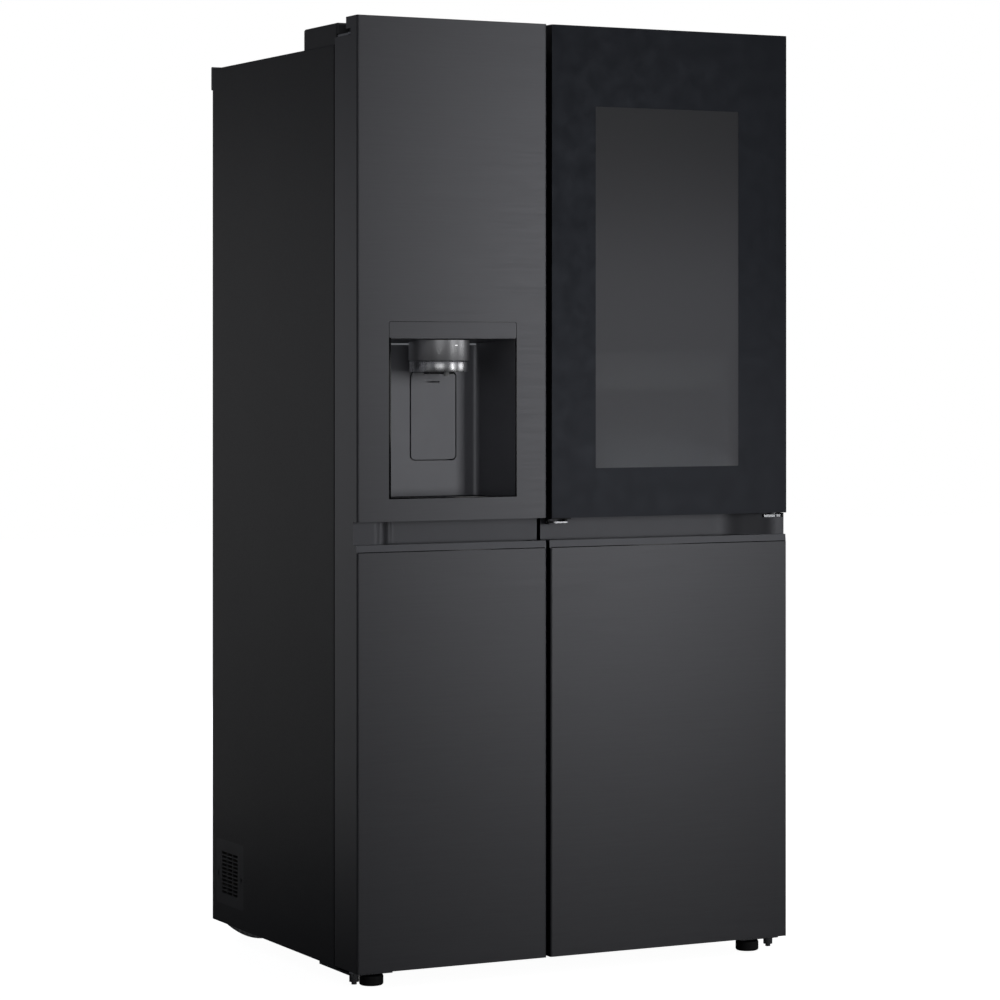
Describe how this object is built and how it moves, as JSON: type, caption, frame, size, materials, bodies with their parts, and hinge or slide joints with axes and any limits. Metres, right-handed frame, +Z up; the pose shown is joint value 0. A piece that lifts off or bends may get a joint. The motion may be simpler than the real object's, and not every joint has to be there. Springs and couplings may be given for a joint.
{
  "type": "side by side refrigerator",
  "caption": "Tall two-door refrigerator with a freezer door holding an ice and water dispenser and a refrigerator door with a glazed outer door over a shelf pocket.",
  "frame": {"origin": "on the floor, under the middle of the appliance's bounding box", "axes": "+Z up, -Y out of the front, +X to the right seen from the front"},
  "size_m": [0.913, 0.735, 1.79],
  "materials": {
    "door_steel": "satin",
    "case_paint": "satin",
    "rear_steel": "satin",
    "galvanised_steel": "satin",
    "hinge_steel": "satin",
    "black_paint": "satin",
    "door_glass": "gloss",
    "shelf_glass": "gloss",
    "liner_plastic": "satin",
    "clear_plastic": "gloss",
    "dark_plastic": "satin",
    "grey_plastic": "satin",
    "satin_plastic": "satin",
    "black_gloss_plastic": "gloss",
    "lamp_plastic": "satin",
    "chrome_trim": "polished",
    "gasket_rubber": "matte",
    "wheel_plastic": "matte",
    "fin_aluminium": "satin",
    "foam": "matte"
  },
  "bodies": {
    "cabinet": {"cabinet_shell": "case_paint", "foam_insulation": "foam", "freezer_liner": "liner_plastic", "fridge_liner": "liner_plastic", "rear_panel": "rear_steel", "side_vent_covers": "dark_plastic", "machine_base_plate": "galvanised_steel", "machine_rear_cover": "grey_plastic", "compressor": "black_paint", "condenser": "fin_aluminium", "condenser_fan_shroud": "grey_plastic", "evaporator": "fin_aluminium", "air_duct_covers": "liner_plastic", "ceiling_lamps": "lamp_plastic", "glass_shelves": "shelf_glass", "ice_maker": "grey_plastic", "ice_bucket": "clear_plastic", "top_hinges": "hinge_steel", "bottom_hinges": "hinge_steel", "hinge_covers": "dark_plastic", "power_inlet_gland": "dark_plastic", "water_inlet_valve": "grey_plastic"},
    "condenser_fan": {"condenser_fan": "dark_plastic"},
    "evaporator_fan": {"evaporator_fan": "dark_plastic"},
    "ice_auger": {"ice_auger": "hinge_steel"},
    "rear_rollers": {"rear_rollers": "wheel_plastic"},
    "left_foot": {"left_foot": "wheel_plastic"},
    "right_foot": {"right_foot": "wheel_plastic"},
    "freezer_upper_drawer": {"freezer_upper_drawer": "clear_plastic"},
    "freezer_lower_drawer": {"freezer_lower_drawer": "clear_plastic"},
    "crisper_upper_drawer": {"crisper_upper_drawer": "clear_plastic"},
    "crisper_lower_drawer": {"crisper_lower_drawer": "clear_plastic"},
    "freezer_door": {"freezer_upper_panel": "door_steel", "freezer_lower_panel": "door_steel", "freezer_handle": "satin_plastic", "freezer_door_core": "foam", "freezer_door_liner": "liner_plastic", "freezer_door_gasket": "gasket_rubber", "freezer_door_caps": "dark_plastic", "freezer_door_bins": "clear_plastic", "dispenser_housing": "satin_plastic", "dispenser_control_strip": "satin_plastic", "dispenser_head": "black_gloss_plastic", "dispenser_spout": "chrome_trim", "drip_tray": "dark_plastic"},
    "dispenser_paddle": {"dispenser_paddle": "satin_plastic"},
    "ice_chute_flap": {"ice_chute_flap": "dark_plastic"},
    "fridge_door": {"fridge_door_panel": "door_steel", "fridge_handle": "satin_plastic", "inner_door_pocket": "liner_plastic", "fridge_door_core": "foam", "fridge_door_liner": "liner_plastic", "fridge_door_gasket": "gasket_rubber", "fridge_door_caps": "dark_plastic", "fridge_door_bins": "clear_plastic", "outer_door_pivots": "hinge_steel"},
    "outer_door": {"outer_door_glass": "door_glass", "outer_door_frame": "dark_plastic", "outer_door_gasket": "gasket_rubber"},
    "release_lever": {"release_lever": "hinge_steel"}
  },
  "joints": [
    {"name": "freezer_door_hinge", "type": "hinge", "parent": "cabinet", "child": "freezer_door", "pos_m": [-0.442, -0.32, 0], "axis": [0, 0, -1], "range_deg": [0, 115]},
    {"name": "fridge_door_hinge", "type": "hinge", "parent": "cabinet", "child": "fridge_door", "pos_m": [0.442, -0.32, 0], "axis": [0, 0, 1], "range_deg": [0, 115]},
    {"name": "outer_door_hinge", "type": "hinge", "parent": "fridge_door", "child": "outer_door", "pos_m": [0.447, -0.335, 0], "axis": [0, 0, -1], "range_deg": [-95, 0]},
    {"name": "release_lever_pivot", "type": "hinge", "parent": "outer_door", "child": "release_lever", "pos_m": [-0.0275, -0.334, 0.85], "axis": [1, 0, 0], "range_deg": [0, 10], "stiffness_Nm_per_rad": 0.5, "springref_deg": -11.46},
    {"name": "paddle_pivot", "type": "hinge", "parent": "freezer_door", "child": "dispenser_paddle", "pos_m": [-0.2515, -0.251, 1.127], "axis": [1, 0, 0], "range_deg": [0, 5], "stiffness_Nm_per_rad": 2, "springref_deg": -5.73},
    {"name": "chute_flap_pivot", "type": "hinge", "parent": "freezer_door", "child": "ice_chute_flap", "pos_m": [-0.262, -0.288, 1.192], "axis": [1, 0, 0], "range_deg": [0, 38], "stiffness_Nm_per_rad": 0.02, "springref_deg": -17.19},
    {"name": "freezer_upper_drawer_slide", "type": "slide", "parent": "cabinet", "child": "freezer_upper_drawer", "axis": [0, -1, 0], "range_m": [0, 0.12]},
    {"name": "freezer_lower_drawer_slide", "type": "slide", "parent": "cabinet", "child": "freezer_lower_drawer", "axis": [0, -1, 0], "range_m": [0, 0.12]},
    {"name": "crisper_upper_drawer_slide", "type": "slide", "parent": "cabinet", "child": "crisper_upper_drawer", "axis": [0, -1, 0], "range_m": [0, 0.12]},
    {"name": "crisper_lower_drawer_slide", "type": "slide", "parent": "cabinet", "child": "crisper_lower_drawer", "axis": [0, -1, 0], "range_m": [0, 0.12]},
    {"name": "ice_auger_spin", "type": "hinge", "parent": "cabinet", "child": "ice_auger", "pos_m": [-0.262, 0, 1.402], "axis": [0, 1, 0], "continuous": true},
    {"name": "condenser_fan_spin", "type": "hinge", "parent": "cabinet", "child": "condenser_fan", "pos_m": [-0.082, 0.245, 0.137], "axis": [1, 0, 0], "continuous": true},
    {"name": "evaporator_fan_spin", "type": "hinge", "parent": "cabinet", "child": "evaporator_fan", "pos_m": [-0.25, 0.251, 1], "axis": [0, 1, 0], "continuous": true},
    {"name": "rear_rollers_spin", "type": "hinge", "parent": "cabinet", "child": "rear_rollers", "pos_m": [0, 0.325, 0.022], "axis": [1, 0, 0], "continuous": true},
    {"name": "left_foot_screw", "type": "slide", "parent": "cabinet", "child": "left_foot", "axis": [0, 0, -1], "range_m": [0, 0.006]},
    {"name": "right_foot_screw", "type": "slide", "parent": "cabinet", "child": "right_foot", "axis": [0, 0, -1], "range_m": [0, 0.006]}
  ]
}
